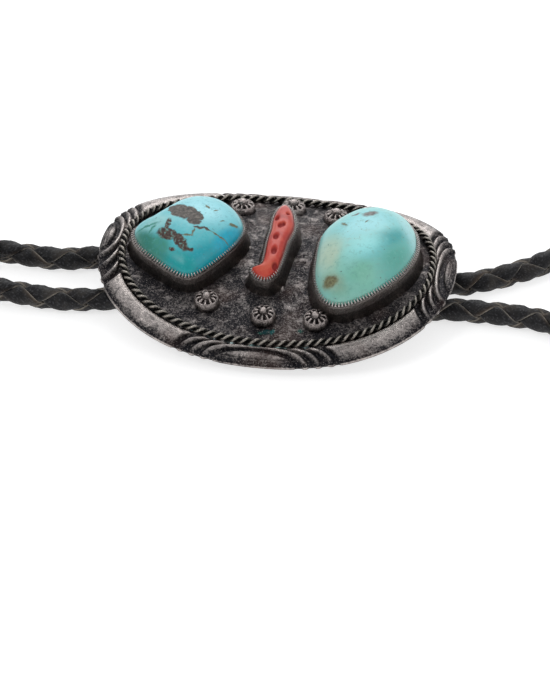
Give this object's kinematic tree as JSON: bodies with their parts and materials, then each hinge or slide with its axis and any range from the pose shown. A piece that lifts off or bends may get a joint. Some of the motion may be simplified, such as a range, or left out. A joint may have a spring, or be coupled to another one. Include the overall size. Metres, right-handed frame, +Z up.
{
  "type": "bolo tie",
  "caption": "Arched oval slide with raised set stones, a stamped rim and twisted wire, on a round braided cord with a neck loop and two free ends.",
  "frame": {"origin": "on the surface that the tie lies on, under the middle of the slide, at the flat underside of the cord clip", "axes": "+Z up, out of the slide's face; +X along the slide's long axis, from the free ends towards the neck loop; +Y towards the slide's far edge"},
  "size_m": [0.2386, 0.1019, 0.0139],
  "materials": {
    "oxidised_silver": "dark oxidised silver, worn bright on its raised edges",
    "turquoise": "polished",
    "coral": "polished",
    "black_leather": "braided and worn",
    "plain_steel": "satin"
  },
  "bodies": {
    "root": {"slide": "oxidised_silver", "turquoise_left": "turquoise", "turquoise_right": "turquoise", "coral": "coral", "cord_clip": "plain_steel", "cord_end_back": "black_leather", "cord_end_front": "black_leather", "cord_tip_back": "plain_steel", "cord_tip_front": "plain_steel", "neck_loop": "black_leather"}
  },
  "joints": []
}
